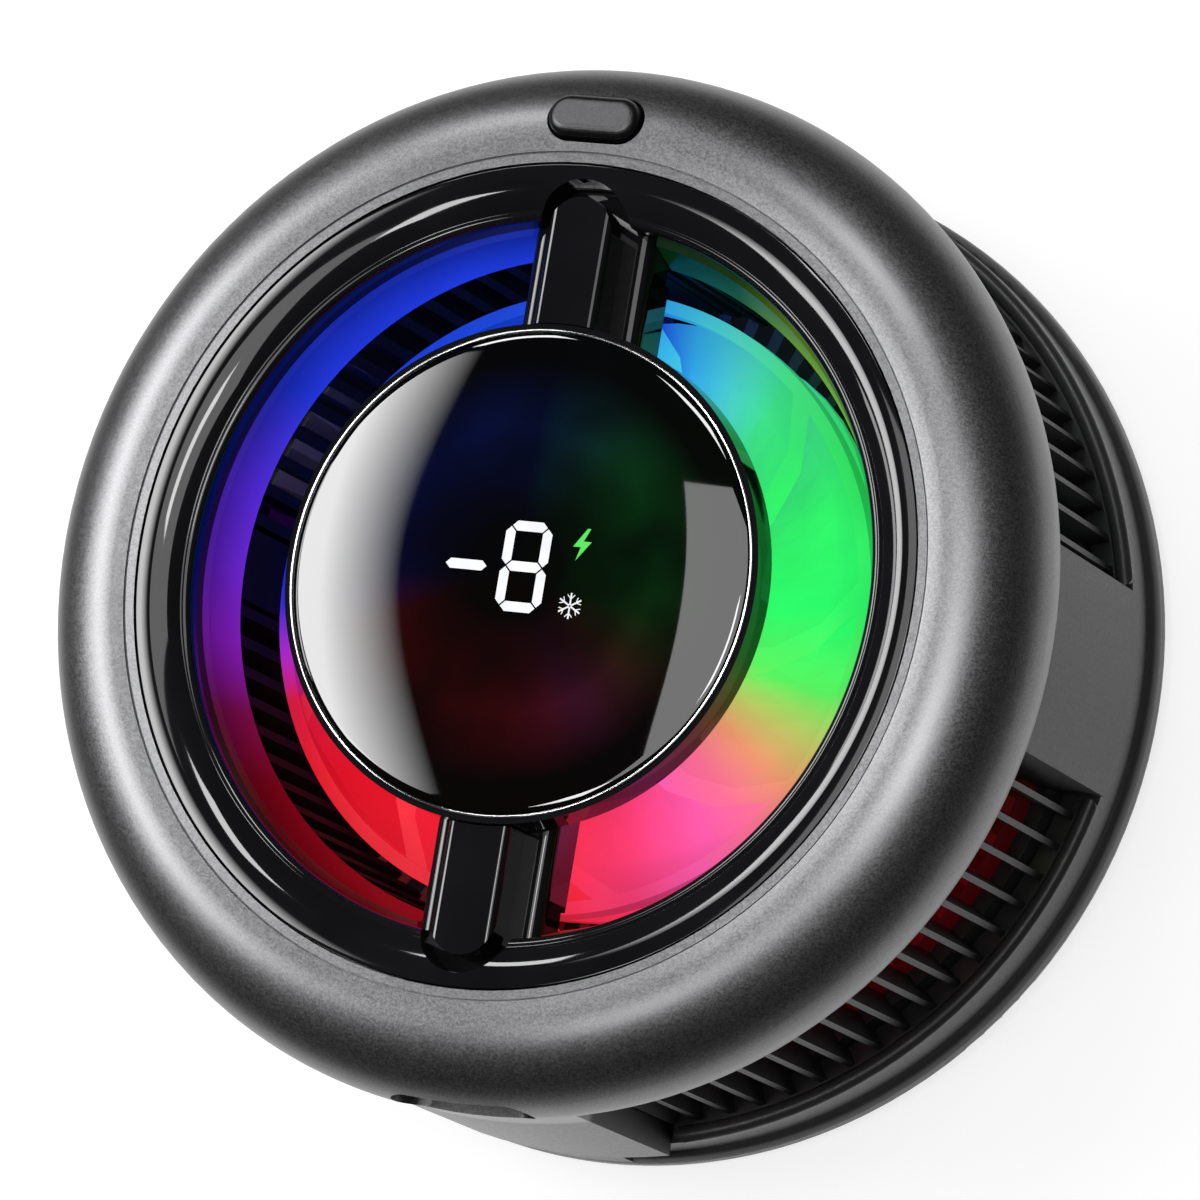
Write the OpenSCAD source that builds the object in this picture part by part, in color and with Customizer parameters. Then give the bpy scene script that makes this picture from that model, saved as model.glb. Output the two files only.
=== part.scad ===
// Magnetic phone cooling fan, lying on its rear face.
// Origin at the middle of the rear face, +Z out of the front, +Y towards the power button.

/* [Front ring] */
// Outside diameter of the rolled front ring
ring_d = 65; // [62:0.5:68]
// Radius of the rolled section
roll_r = 5.2; // [5:0.1:5.6]
// Wall of the rolled shell
shell_t = 1.5; // [1.3:0.1:1.7]
// Height of the flat foot cut under the roll
roll_foot = 0.8; // [0.6:0.1:1]
// How far the lip stands in from the middle of the roll
lip_in = 1.7; // [1.5:0.1:1.9]
// Width of the flat band on top of the lip
lip_band = 0.55; // [0.45:0.05:0.7]
// Width of the groove between the band and the roll
lip_groove = 0.12; // [0.1:0.01:0.18]
// Drop of the band below the top of the roll
lip_drop = 0.2; // [0.15:0.05:0.3]
// Ledge under the lip that carries the funnel
ledge_t = 0.6; // [0.5:0.1:0.8]

/* [Height stack, from the rear] */
// Thickness of the thermal pad and the friction ring
pad_t = 0.6; // [0.4:0.1:0.8]
// Floor of the rear base
floor_t = 1.4; // [1.2:0.1:1.8]
// Flange of the cold plate
cold_t = 1.8; // [1.4:0.1:2.2]
// Each ceramic plate of the thermoelectric module
ceramic_t = 0.7; // [0.6:0.1:0.9]
// Height of the pellets between the ceramic plates
pellet_h = 1.5; // [1.2:0.1:1.8]
// Plate of the heat sink
sink_t = 2.5; // [2.2:0.1:2.8]
// Height of the cooling fins
fin_h = 13.6; // [12.6:0.1:14.6]
// Height of the lit ring wall
guide_h = 3; // [2.8:0.1:3.4]
// Depth of the funnel from its rim to the lit ring
funnel_h = 3; // [2.8:0.1:3.2]

/* [Funnel and lit ring] */
// Width of the funnel from its rim in to its inner edge
funnel_w = 3.5; // [3.2:0.1:3.8]
// Height of the funnel's inner edge above the lit ring
edge_h = 0.7; // [0.7:0.05:0.9]
// Radius of the bull nose on the funnel's inner edge
edge_round = 0.6; // [0.5:0.05:0.65]
// How far the wall under the bull nose is set back
edge_back = 0.15; // [0.1:0.05:0.25]
// Width of the funnel's flat brim
brim_w = 1; // [0.9:0.05:1.1]
// Radius of the funnel's convex brow
brow_r = 0.75; // [0.65:0.05:0.75]
// Thickness of the funnel at its foot
funnel_foot = 1.3; // [1.1:0.1:1.5]
// Step from the funnel's edge in to the lit ring
guide_step = 0.2; // [0.15:0.05:0.3]
// Lean of the lit ring over its height
guide_lean = 0.8; // [0.6:0.1:1]
// Wall of the lit ring
guide_t = 1.4; // [1.2:0.1:1.5]
// Thickness of the LED board
led_board_t = 0.8; // [0.6:0.1:0.9]
// Number of LEDs round the ring
led_count = 24; // [16:2:28]
// Height of an LED
led_h = 0.8; // [0.6:0.1:0.8]

/* [Bridge bar] */
// Width of the bar's lower beam
beam_w = 8; // [7:0.5:9]
// Height of the lower beam
beam_h = 2.8; // [2.6:0.1:3]
// Depth of the keel under the beam
keel_h = 0.6; // [0.4:0.1:0.8]
// Rounding of the beam's upper edges
beam_round = 0.8; // [0.5:0.1:1]
// Width of the ridge on the beam
ridge_w = 4.1; // [3.6:0.1:4.4]
// Rounding of the ridge's upper edges
ridge_round = 0.45; // [0.3:0.05:0.7]
// Reach of the ridge's round tip past the funnel's inner edge
ridge_past = 1.5; // [1.2:0.1:1.7]
// Room beside the ridge in the funnel's pocket
pocket_side = 0.95; // [0.8:0.05:1.2]
// Room past the ridge's tip in the funnel's pocket
pocket_end = 1.1; // [0.9:0.1:1.2]
// Thickness of the bar's tabs under the funnel
tab_t = 1.3; // [1.1:0.1:1.4]

/* [Display] */
// Outside radius of the display cup
cup_r = 15.45; // [15:0.05:15.6]
// Wall of the display cup
cup_wall = 1; // [0.8:0.1:1.2]
// Floor of the display cup
cup_floor = 0.8; // [0.7:0.1:0.9]
// Thickness of the lens at its edge
lens_edge = 0.6; // [0.5:0.05:0.7]
// Rise of the lens dome
lens_rise = 0.8; // [0.7:0.05:0.9]
// Wall of the bright rim round the lens
trim_t = 0.23; // [0.2:0.01:0.28]
// Wall of the cup outside the bright rim
cup_lip = 0.3; // [0.26:0.02:0.36]
// Thickness of the display board
disp_board_t = 0.8; // [0.7:0.05:0.9]
// Height of a display figure
digit_h = 5.6; // [5:0.2:6.2]
// Width of a display figure
digit_w = 3.2; // [2.8:0.1:3.6]
// Width of a lit segment
seg_w = 0.6; // [0.5:0.05:0.7]

/* [Power button] */
// Length of the button
btn_l = 6; // [5:0.25:7]
// Width of the button
btn_w = 2.7; // [2.4:0.1:2.8]
// How far the button stands out of the ring
btn_proud = 0.7; // [0.5:0.1:0.9]
// Lean of the button outwards on the roll
btn_lean = 12; // [8:1:15]
// Travel of the button
btn_travel = 0.4; // [0.3:0.05:0.45]
// Gap round the button in its slot
btn_gap = 0.2; // [0.15:0.05:0.25]

/* [Power inlet] */
// Width of the USB-C socket
usb_w = 8.94; // [8.8:0.02:9.1]
// Height of the USB-C socket
usb_h = 3.2; // [3.1:0.02:3.3]
// Sheet of the socket's shell
usb_t = 0.3; // [0.25:0.05:0.35]
// Height of the power inlet above the widest level of the ring
usb_lift = 0.2; // [0.1:0.05:0.3]
// Thickness of the main board
board_t = 0.8; // [0.7:0.1:1]
// Half angle of the main board's arc
board_half = 26; // [20:1:30]

/* [Vent cage] */
// Inset of the slats' outer edges from the ring
slat_in = 2.5; // [2.3:0.1:2.7]
// Thickness of a slat
slat_t = 0.4; // [0.35:0.05:0.5]
// Angle from slat to slat
slat_pitch = 4; // [3.8:0.1:4.1]
// Number of slats between two columns
slats = 16; // [12:1:16]
// Width of a column
col_w = 12.8; // [11.5:0.1:13]
// Inset of the columns' outer faces from the ring
col_in = 0.9; // [0.8:0.1:1.2]
// Height of the cage's upper hoop
hoop_h = 1.2; // [1:0.1:1.5]

/* [Heat sink and module] */
// Number of cooling fins
fins = 68; // [60:1:72]
// Half angle of the solid boss at each column
boss_half = 6; // [5.5:0.1:6.5]
// Thickness of a cooling fin
fin_t = 0.7; // [0.6:0.05:0.8]
// Side of the thermoelectric module
tec_w = 22; // [20:0.5:24]
// Pellets along one side of the module
pellet_n = 6; // [5:1:7]
// Side of one pellet
pellet_w = 1.6; // [1.4:0.1:1.8]
// Clear ring between the cold plate's flange and the magnets
cold_gap = 3; // [2.6:0.1:3.4]
// Width of the cold plate's flange
cold_flange = 2.5; // [2:0.1:3]

/* [Rear base] */
// Set-back of the base drum from the outside of the ring
base_in = 0.5; // [0.4:0.1:0.7]
// Height of the base drum
base_h = 5.3; // [5:0.1:5.6]
// Radius of the rounded foot of the base drum
base_foot = 1.2; // [1:0.1:1.3]
// Height of the rounded rim round the base drum
rim_h = 2.8; // [2.6:0.1:3]
// Radius of the rounded shoulder of the rim
shoulder = 1; // [0.8:0.1:1.1]
// Set-back of the neck between the rim and the bead
neck_in = 0.6; // [0.5:0.05:0.7]
// Half angle of the heel that fills the neck under the power inlet
heel_half = 11; // [9:1:13]
// Radius of the raised bead
bead_r = 0.6; // [0.5:0.05:0.65]
// Inset of the bead from the flange's edge
bead_in = 1.05; // [1:0.05:1.1]
// Number of magnets in the ring
magnet_n = 16; // [12:1:18]
// Width of a magnet across the ring
magnet_w = 3.4; // [3:0.1:3.6]
// Thickness of a magnet
magnet_t = 1.4; // [1.2:0.1:1.6]

/* [Fan] */
// Gap from the blade tips to the cooling fins
fan_gap = 1.5; // [1.3:0.1:1.8]
// How far the fan lies below the fins' upper ends
fan_drop = 2.6; // [2.2:0.1:3]
// Number of blades
blades = 9; // [7:1:11]
// Turn of a blade over its height
blade_turn = 56; // [40:2:64]
// Backward sweep of a blade from hub to tip
blade_sweep = 24; // [10:2:30]
// Thickness of a blade measured round the hub
blade_t = 1.7; // [1.4:0.1:2]
// Width of the hoop that joins the blade tips
fan_hoop = 0.8; // [0.6:0.1:1]
// Outside radius of the hub
hub_r = 8.6; // [8.4:0.1:9]
// Wall of the hub
hub_t = 0.75; // [0.65:0.05:0.85]
// Wall of the steel rotor cup
rotor_t = 0.5; // [0.4:0.05:0.6]
// Thickness of the ring magnet
ring_magnet_t = 0.8; // [0.7:0.05:0.9]
// Radius of the shaft
shaft_r = 0.75; // [0.7:0.05:0.9]
// Radius of the bearing sleeve
sleeve_r = 2; // [1.8:0.1:2.2]
// Height of the stator core
stator_h = 3; // [2.6:0.1:3.2]

/* [Clearances] */
// Gap between pieces that are fitted together
fit = 0.1; // [0.05:0.05:0.15]
// Radial play of the shaft and of the switch plunger
play = 0.05; // [0.03:0.01:0.08]
// Gap between the spinning and the fixed pieces
run_gap = 0.3; // [0.3:0.05:0.4]

/* [Hidden] */
$fn = 96;
// Overlap that joins two shapes of one piece
weld = 0.2;
// Length that carries a cut right through
through = 100;

// Heights of the stack
floor_z = pad_t;
floor_top = floor_z + floor_t;
cold_top = floor_top + cold_t;
pellet_z = cold_top + ceramic_t;
hot_z = pellet_z + pellet_h;
sink_z = hot_z + ceramic_t;
sink_top = sink_z + sink_t;
fin_top = sink_top + fin_h;
guide_top = fin_top + guide_h;
rim_z = guide_top + funnel_h;
roll_z = rim_z - roll_r;
part_z = roll_z - roll_r + roll_foot;

// Radii of the front ring and of what hangs under it
ring_r = ring_d / 2;
roll_c = ring_r - roll_r;
roll_in = roll_r - shell_t;
lip_r = roll_c - lip_in;
lip_wall = 1;
lip_lap = 0.8;
band_z = rim_z - lip_drop;
groove_depth = 0.15;
ledge_w = 1.2;
ledge_drop = 1.8;
ledge_z = rim_z - ledge_drop;
foot_out = 1.1;
foot_r = roll_c + foot_out;

// Funnel and lit ring
funnel_r = lip_r - fit;
funnel_top = band_z - fit / 2;
inlet_r = funnel_r - funnel_w;
inlet_z = guide_top + edge_h;
guide_in_top = inlet_r - guide_step;
guide_in = guide_in_top - guide_lean;
led_room = 0.5;
led_board_in = guide_in + guide_t + led_room;
led_board_out = lip_r - ledge_w;
led_w = 1.6;
led_d = 1.2;
led_inset = 0.4;
led_r = led_board_in + led_inset;

// Bridge bar
tab_recess = 0.2;
beam_top = guide_top + tab_recess;
beam_z = beam_top - beam_h;
beam_reach = inlet_r - fit;
keel_z = beam_z - keel_h;
keel_in = 1.5;
keel_reach = guide_in - keel_in;
ridge_drop = 0.3;
ridge_top = rim_z - ridge_drop;
ridge_reach = inlet_r + ridge_past;
tab_lap = 0.3;
tab_reach = ridge_reach + pocket_end + tab_lap;
pocket_r = ridge_w / 2 + pocket_side;

// Display
cup_drop = 0.12;
cup_top = rim_z - cup_drop;
lens_z = rim_z - lens_edge;
trim_r = cup_r - cup_lip - fit / 5;
lens_r = trim_r - trim_t - fit / 3;
disp_board_z = beam_top + cup_floor;
disp_board_r = cup_r - cup_wall - fit;
digit_z = disp_board_z + disp_board_t;
digit_gap = 1.0;
digit_block_w = 2 * digit_w + 4 * digit_gap;
digit_block_h = digit_h + 2 * digit_gap;

// Power button, in a frame at the middle of the roll with +Z out through the button
btn_flange_drop = 1.3;
btn_flange_z = roll_in - btn_flange_drop;
btn_flange_t = 0.7;
btn_flange_w = 2.4;
btn_flange_over = 1.2;
btn_flange_l = btn_l + 2 * btn_flange_over;
btn_round = 0.6;
plunger_r = 0.9;
plunger_l = 1.3;
switch_room = 0.2;
switch_top = btn_flange_z - btn_travel - switch_room;
switch_h = 1.2;
switch_w = 3;
switch_l = 4.5;
switch_z = switch_top - switch_h;
btn_board_t = 0.8;
btn_board_z = switch_z - btn_board_t;
btn_board_w = 3.6;
btn_board_l = 7;

// Power inlet and main board
usb_z = roll_z + usb_lift;
usb_inset = 0.8;
usb_mouth = ring_r - usb_inset;
tongue_side = 1.15;
tongue_t = 0.7;
usb_hole_gap = 0.2;
apron_in = 0.35;
apron_r = ring_r - apron_in;
apron_t = 1.8;
apron_lap = 0.4;
board_top = usb_z - usb_h / 2;
board_z = board_top - board_t;

// Vent cage and heat sink
slat_r = ring_r - slat_in;
slat_proud = 1.4;
cage_r = slat_r - slat_proud;
cage_t = 2.4;
cage_in = cage_r - cage_t;
slat_root = 0.9;
hoop_lap = 0.8;
hoop_in = foot_r - hoop_lap;
hoop_r = slat_r - 2 * fit;
columns = 4;
quarter = 360 / columns;
col_r = ring_r - col_in;
col_depth = 1.6;
col_root = cage_r - col_depth;
col_step = 1;
sink_seat = 1;
sink_r = cage_r - sink_seat;
fin_in = guide_in;
fin_edge = 1.2;
fin_out = sink_r - fin_edge;
board_in = fin_out + 2 * fit;
board_past = 1.7;
board_out = roll_c + board_past;
post_in = board_in + fit;
post_out = foot_r - 2 * fit;
post_w = 5;

// Rear base, cold plate and magnets
base_r = ring_r - base_in;
rim_c = base_r - base_foot;
base_top = floor_z + base_h;
rim_top = floor_z + rim_h;
neck_r = base_r - neck_in;
heel_r = base_r - fit / 2;
heel_turn = -6;
heel_round = 0.4;
base_wall_r = cage_r + fit;
channel_depth = 0.8;
channel_z = base_top - channel_depth;
channel_r = slat_r + 2 * fit;
bead_c = base_r - bead_in;
bead_gap = 0.8;
magnet_out = cage_in - 3 * fit;
magnet_in = magnet_out - magnet_w;
magnet_sink = 0.8;
magnet_z = floor_z + floor_t - magnet_sink;
cold_flange_r = magnet_in - cold_gap;
cold_r = cold_flange_r - cold_flange;
cold_hole_r = cold_r + 3 * fit;
pad_inset = 0.5;
pad_r = cold_r - pad_inset;
gasket_wall = 4.9;
gasket_r = tec_w / sqrt(2) + gasket_wall;
friction_gap = 1.2;
friction_in = cold_hole_r + friction_gap;
friction_out = rim_c - 3 * fit;

// Fan and motor
fan_r = fin_in - fan_gap;
fan_top = fin_top - fan_drop;
motor_plate_t = 0.8;
motor_top = sink_top + motor_plate_t;
motor_plate_lap = 1;
motor_plate_r = hub_r + motor_plate_lap;
motor_board_t = 0.6;
fan_lift = 0.8;
fan_z = motor_top + fan_lift;
hub_cap = 0.9;
fan_hoop_h = 1.6;
blade_root = hub_r - hub_t / 2;
blade_tip = fan_r - fan_hoop / 2;
blade_steps = 4;
rotor_top = fan_top - hub_cap;
rotor_r = hub_r - hub_t - fit / 2;
rotor_lift = 0.2;
rotor_z = fan_z + rotor_lift;
ring_magnet_r = rotor_r - rotor_t - fit / 3;
ring_magnet_z = rotor_z + rotor_lift;
stator_r = ring_magnet_r - ring_magnet_t - run_gap;
tube_t = 0.8;
tube_r = sleeve_r + tube_t;
tube_step = 0.7;
stator_lift = 0.8;
stator_z = motor_top + motor_board_t + stator_lift;
stator_top = stator_z + stator_h;
core_t = 1;
sleeve_lift = 0.6;
sleeve_z = sink_top + sleeve_lift;
collar_h = 0.4;
sleeve_top = rotor_top - rotor_t - 2 * run_gap - collar_h;
collar_t = 0.8;
collar_r = shaft_r + collar_t;
shaft_z = sleeve_z + fit;
poles = 6;
arm_w = 1.2;
shoe_t = 0.8;
shoe_half = 22;
coil_end = 0.6;
coil_wall = 0.7;

// Screws
case_screw_r = 0.8;
case_head_r = 1.5;
case_head_h = 0.9;
case_screw_l = 9;
case_screw_c = cage_r - 2 * fit;
motor_screw_r = 0.5;
motor_head_r = 0.9;
motor_head_h = 0.4;
motor_screw_l = 1.8;
motor_screw_c = motor_plate_r - motor_head_r - 3 * fit;
disp_screw_r = 0.6;
disp_head_r = 1.1;
disp_head_h = 0.7;
disp_screw_c = 10;

// Ring with a square section between two radii and two heights
module hoop(r_in, r_out, z0, z1) {
  translate([0, 0, z0])
    difference() {
      cylinder(r = r_out, h = z1 - z0);
      translate([0, 0, -weld])
        cylinder(r = r_in, h = z1 - z0 + 2 * weld);
    }
}

// Flat slot outline with round ends, centred, lying along X
module slot_shape(length, width) {
  square([length - width, width], center = true);
  for (s = [-1, 1])
    translate([s * (length - width) / 2, 0])
      circle(d = width);
}

// Sector of a flat ring, half the given angle to each side of +X
module sector_shape(r_in, r_out, half) {
  reach = r_out / cos(half);
  intersection() {
    difference() {
      circle(r_out);
      circle(r_in);
    }
    polygon([[0, 0], [reach * cos(half), -reach * sin(half)], [reach * cos(half), reach * sin(half)]]);
  }
}

// Places children in the button's own frame on the roll
module at_button() {
  translate([0, roll_c, roll_z])
    rotate([-btn_lean, 0, 0])
      children();
}

// Repeats children at the four columns
module at_columns() {
  for (i = [0 : columns - 1])
    rotate(i * quarter)
      children();
}

// Rolled shell: most of a tube, open underneath and inside, with a flat band on the lip and a ledge
module ring_profile() {
  difference() {
    translate([roll_c, roll_z])
      circle(roll_r);
    translate([roll_c, roll_z])
      circle(roll_in);
    square([lip_r, rim_z + roll_r]);
    square([foot_r, roll_z]);
    square([ring_r + roll_r, part_z]);
    translate([0, band_z - groove_depth])
      square([lip_r + lip_band + lip_groove, roll_r]);
  }
  translate([lip_r, ledge_z])
    square([lip_band, band_z - ledge_z]);
  translate([lip_r, ledge_z - ledge_t])
    square([lip_wall, rim_z - lip_lap - ledge_z + ledge_t]);
  translate([lip_r - ledge_w, ledge_z - ledge_t])
    square([ledge_w + lip_wall, ledge_t]);
}

module front_ring() {
  color("#3b3d41")
    difference() {
      union() {
        rotate_extrude()
          ring_profile();
        intersection() {
          hoop(apron_r - apron_t, apron_r, base_top + fit, roll_z - apron_lap);
          translate([-col_w / 2, -ring_r, 0])
            cube([col_w, ring_r, roll_z]);
        }
      }
      at_button()
        linear_extrude(through)
          slot_shape(btn_l + 2 * btn_gap, btn_w + 2 * btn_gap);
      at_button()
        translate([-btn_flange_l / 2 - btn_gap, -btn_flange_w / 2 - btn_gap, 0])
          cube([btn_flange_l + 2 * btn_gap, btn_flange_w + 2 * btn_gap,
                btn_flange_z + btn_flange_t + btn_gap / 2]);
      translate([0, -board_in, usb_z])
        rotate([90, 0, 0])
          linear_extrude(through)
            slot_shape(usb_w + 2 * usb_hole_gap, usb_h + 2 * usb_hole_gap);
    }
}

// Funnel section: a flat brim, a convex brow, a straight flank and a bull nose on the inner edge
module funnel_profile() {
  brow = [funnel_r - brim_w, funnel_top - brow_r];
  nose = [inlet_r + edge_round, inlet_z];
  span = brow - nose;
  flank = atan2(span[1], span[0]) + asin((brow_r - edge_round) / norm(span));
  out = [-sin(flank), cos(flank)];
  polygon([[inlet_r + edge_back, guide_top], [inlet_r + funnel_foot, guide_top],
           [funnel_r - ledge_w + fit, ledge_z], [funnel_r, ledge_z], [funnel_r, funnel_top],
           [brow[0], funnel_top], brow, brow + brow_r * out, nose + edge_round * out, nose,
           [inlet_r + edge_back, inlet_z]]);
  translate(brow)
    circle(brow_r);
  translate(nose)
    circle(edge_round);
}

module bezel_funnel() {
  color("#0c0c0e")
    difference() {
      rotate_extrude()
        funnel_profile();
      for (s = [-1, 1]) {
        translate([0, 0, guide_top - weld])
          linear_extrude(funnel_h + 2 * weld) {
            translate([0, s * (ridge_reach + pocket_end - pocket_r)])
              circle(pocket_r);
            translate([-pocket_r, min(0, s * (ridge_reach + pocket_end - pocket_r))])
              square([2 * pocket_r, ridge_reach + pocket_end - pocket_r]);
          }
        translate([-beam_w / 2 - fit, min(0, s * (tab_reach + fit)), guide_top - weld])
          cube([beam_w + 2 * fit, tab_reach + fit, beam_top - guide_top + weld + fit / 2]);
      }
    }
}

// Section across the ridge or the beam, with rounded upper edges
module bar_section(w, h, r) {
  translate([-w / 2, 0])
    square([w, h - r]);
  translate([-w / 2 + r, h - r - weld])
    square([w - 2 * r, r + weld]);
  for (s = [-1, 1])
    translate([s * (w / 2 - r), h - r])
      circle(r);
}

module bridge_bar() {
  color("#101012")
    difference() {
      union() {
        translate([0, beam_reach, beam_z])
          rotate([90, 0, 0])
            linear_extrude(2 * beam_reach)
              bar_section(beam_w, beam_h, beam_round);
        translate([-beam_w / 2, -keel_reach, keel_z])
          cube([beam_w, 2 * keel_reach, keel_h + weld]);
        translate([-beam_w / 2, -tab_reach, beam_top - tab_t])
          cube([beam_w, 2 * tab_reach, tab_t - beam_round]);
        translate([-beam_w / 2 + beam_round, -tab_reach, beam_top - tab_t])
          cube([beam_w - 2 * beam_round, 2 * tab_reach, tab_t]);
        intersection() {
          translate([0, ridge_reach, beam_top - weld])
            rotate([90, 0, 0])
              linear_extrude(2 * ridge_reach)
                bar_section(ridge_w, ridge_top - beam_top + weld, ridge_round);
          translate([0, 0, beam_top - weld])
            linear_extrude(ridge_top)
              rotate(90)
                slot_shape(2 * ridge_reach, ridge_w);
        }
      }
      translate([0, 0, beam_top])
        cylinder(r = cup_r + fit, h = funnel_h);
      for (s = [-1, 1])
        translate([0, s * disp_screw_c, keel_z]) {
          translate([0, 0, -weld])
            cylinder(r = disp_head_r + fit, h = disp_head_h + weld);
          cylinder(r = disp_screw_r + fit, h = beam_h + keel_h + weld);
        }
    }
}

module display_cup() {
  bevel = 0.4;
  color("#0b0b0d")
    difference() {
      rotate_extrude()
        polygon([[0, beam_top], [cup_r - bevel, beam_top], [cup_r, beam_top + bevel], [cup_r, cup_top],
                 [cup_r - cup_lip, cup_top], [cup_r - cup_lip, lens_z], [cup_r - cup_wall, lens_z],
                 [cup_r - cup_wall, disp_board_z], [0, disp_board_z]]);
      for (s = [-1, 1])
        translate([0, s * disp_screw_c, beam_top - weld])
          cylinder(r = disp_screw_r + fit, h = cup_floor + 2 * weld);
    }
}

module display_lens() {
  dome_r = (lens_r * lens_r + lens_rise * lens_rise) / (2 * lens_rise);
  color("#060608")
    rotate_extrude()
      intersection() {
        translate([0, lens_z])
          square([lens_r, lens_edge + lens_rise + weld]);
        translate([0, rim_z + lens_rise - dome_r])
          circle(dome_r, $fn = 720);
      }
}

module lens_trim() {
  color("#c9ccd0")
    hoop(trim_r - trim_t, trim_r, lens_z, rim_z);
}

module display_board() {
  color("#14301f")
    difference() {
      translate([0, 0, disp_board_z])
        cylinder(r = disp_board_r, h = disp_board_t);
      for (s = [-1, 1])
        translate([0, s * disp_screw_c, disp_board_z - weld])
          cylinder(r = disp_screw_r + 2 * fit, h = disp_board_t + 2 * weld);
    }
}

// The seven windows of one figure, as [x, y, turn] in half widths and half heights
function figure_windows() =
  [[0, 1, 0], [0, 0, 0], [0, -1, 0], [-1, 0.5, 90], [1, 0.5, 90], [-1, -0.5, 90], [1, -0.5, 90]];

module digit_block() {
  w = (digit_w - seg_w) / 2;
  h = (digit_h - seg_w) / 2;
  color("#e8e8e6")
    translate([0, 0, digit_z])
      difference() {
        linear_extrude(lens_z - digit_z - fit)
          square([digit_block_w, digit_block_h], center = true);
        translate([0, 0, weld])
          linear_extrude(lens_z) {
            for (s = figure_windows())
              translate([digit_gap / 2 + s[0] * w, s[1] * h])
                rotate(s[2])
                  slot_shape((s[2] == 0 ? digit_w : h + seg_w) - 1.4 * seg_w, seg_w);
            translate([-digit_w, 0])
              slot_shape(digit_w - 1.4 * seg_w, seg_w);
          }
      }
}

module light_ring() {
  color("#dfe6f2")
    difference() {
      rotate_extrude()
        polygon([[guide_in, fin_top], [guide_in + guide_t, fin_top],
                 [guide_in_top + guide_t, guide_top], [guide_in_top, guide_top]]);
      translate([-beam_w / 2 - fit, -inlet_r - guide_t, fin_top - weld])
        cube([beam_w + 2 * fit, 2 * (inlet_r + guide_t), guide_h + 2 * weld]);
    }
}

module led_board() {
  color("#f2f2ee")
    hoop(led_board_in, led_board_out, fin_top, fin_top + led_board_t);
}

module led_chips() {
  color("#fff7d6")
    for (i = [0 : led_count - 1])
      rotate((i + 0.5) * 360 / led_count)
        translate([led_r, -led_w / 2, fin_top + led_board_t])
          cube([led_d, led_w, led_h]);
}

// Column section, hollowed on top to follow the roll of the front ring
module column_profile() {
  difference() {
    translate([col_root, base_top])
      square([col_r - col_root, roll_z - base_top]);
    translate([roll_c, roll_z])
      circle(roll_r + fit);
    translate([0, part_z])
      square([foot_r, roll_z]);
  }
}

module vent_cage() {
  color("#2b2c2f")
    difference() {
      union() {
        hoop(cage_in, cage_r, floor_top, sink_z);
        hoop(hoop_in, hoop_r, part_z - hoop_h, part_z);
        at_columns()
          for (i = [0 : slats - 1])
            rotate(quarter / 2 + (i - (slats - 1) / 2) * slat_pitch)
              translate([cage_r - slat_root, -slat_t / 2, channel_z + 2 * fit])
                cube([slat_r - cage_r + slat_root, slat_t, part_z - hoop_h / 2 - channel_z - 2 * fit]);
        intersection() {
          rotate_extrude()
            column_profile();
          at_columns()
            translate([col_root / 2, -col_w / 2, 0])
              cube([col_r, col_w, roll_z]);
        }
        at_columns()
          translate([cage_in + weld, -col_w / 2 + col_step, floor_top])
            cube([col_root - cage_in + weld, col_w - 2 * col_step, part_z - floor_top]);
        for (s = [-1, 1])
          rotate(-90 + s * board_half * 0.7)
            translate([post_in, -1, part_z - hoop_h])
              cube([post_out - post_in, 2, board_z - part_z + hoop_h]);
        difference() {
          translate([-post_w / 2, post_in, part_z - hoop_h])
            cube([post_w, post_out - post_in, roll_r + hoop_h]);
          at_button()
            translate([-post_w, -roll_r, btn_board_z])
              cube([2 * post_w, 2 * roll_r, 2 * roll_r]);
        }
      }
      difference() {
        cylinder(r = sink_r + fit, h = through);
        cylinder(r = through, h = sink_z);
        hoop(fin_out + fit, through, sink_top + fit, through);
      }
      at_columns()
        translate([case_screw_c, 0, floor_z])
          cylinder(r = case_screw_r + play, h = case_screw_l + 1);
      intersection() {
        hoop(apron_r - apron_t - fit, ring_r, base_top - weld, roll_z);
        translate([-col_w, -ring_r, 0])
          cube([2 * col_w, ring_r, roll_z]);
      }
    }
}

// Angle between a direction and the nearest column
function from_column(a) = abs((a + quarter / 2) % quarter - quarter / 2);

module heat_sink() {
  color("#8d9299")
    difference() {
      union() {
        translate([0, 0, sink_z])
          cylinder(r = sink_r, h = sink_t);
        translate([0, 0, sink_top - weld])
          linear_extrude(fin_h + weld)
            for (i = [0 : fins - 1])
              if (from_column((i + 0.5) * 360 / fins) > boss_half)
                rotate((i + 0.5) * 360 / fins)
                  translate([fin_in, -fin_t / 2])
                    square([fin_out - fin_in, fin_t]);
        translate([0, 0, sink_top - weld])
          linear_extrude(fin_h + weld)
            at_columns()
              sector_shape(fin_in, fin_out, boss_half);
      }
      for (i = [0 : 2])
        rotate(i * 120)
          translate([motor_screw_c, 0, sink_z])
            cylinder(r = motor_screw_r + fit, h = sink_t + weld);
    }
}

// One ceramic plate of the module
module ceramic(z) {
  translate([-tec_w / 2, -tec_w / 2, z])
    cube([tec_w, tec_w, ceramic_t]);
}

module hot_ceramic() {
  color("#f4f4f2")
    ceramic(hot_z);
}

module cold_ceramic() {
  color("#f4f4f2")
    ceramic(cold_top);
}

module pellets() {
  pitch = tec_w / pellet_n;
  color("#7b7f86")
    for (i = [0 : pellet_n - 1])
      for (j = [0 : pellet_n - 1])
        translate([(i + 0.5) * pitch - tec_w / 2 - pellet_w / 2,
                   (j + 0.5) * pitch - tec_w / 2 - pellet_w / 2, pellet_z])
          cube([pellet_w, pellet_w, pellet_h]);
}

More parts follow.
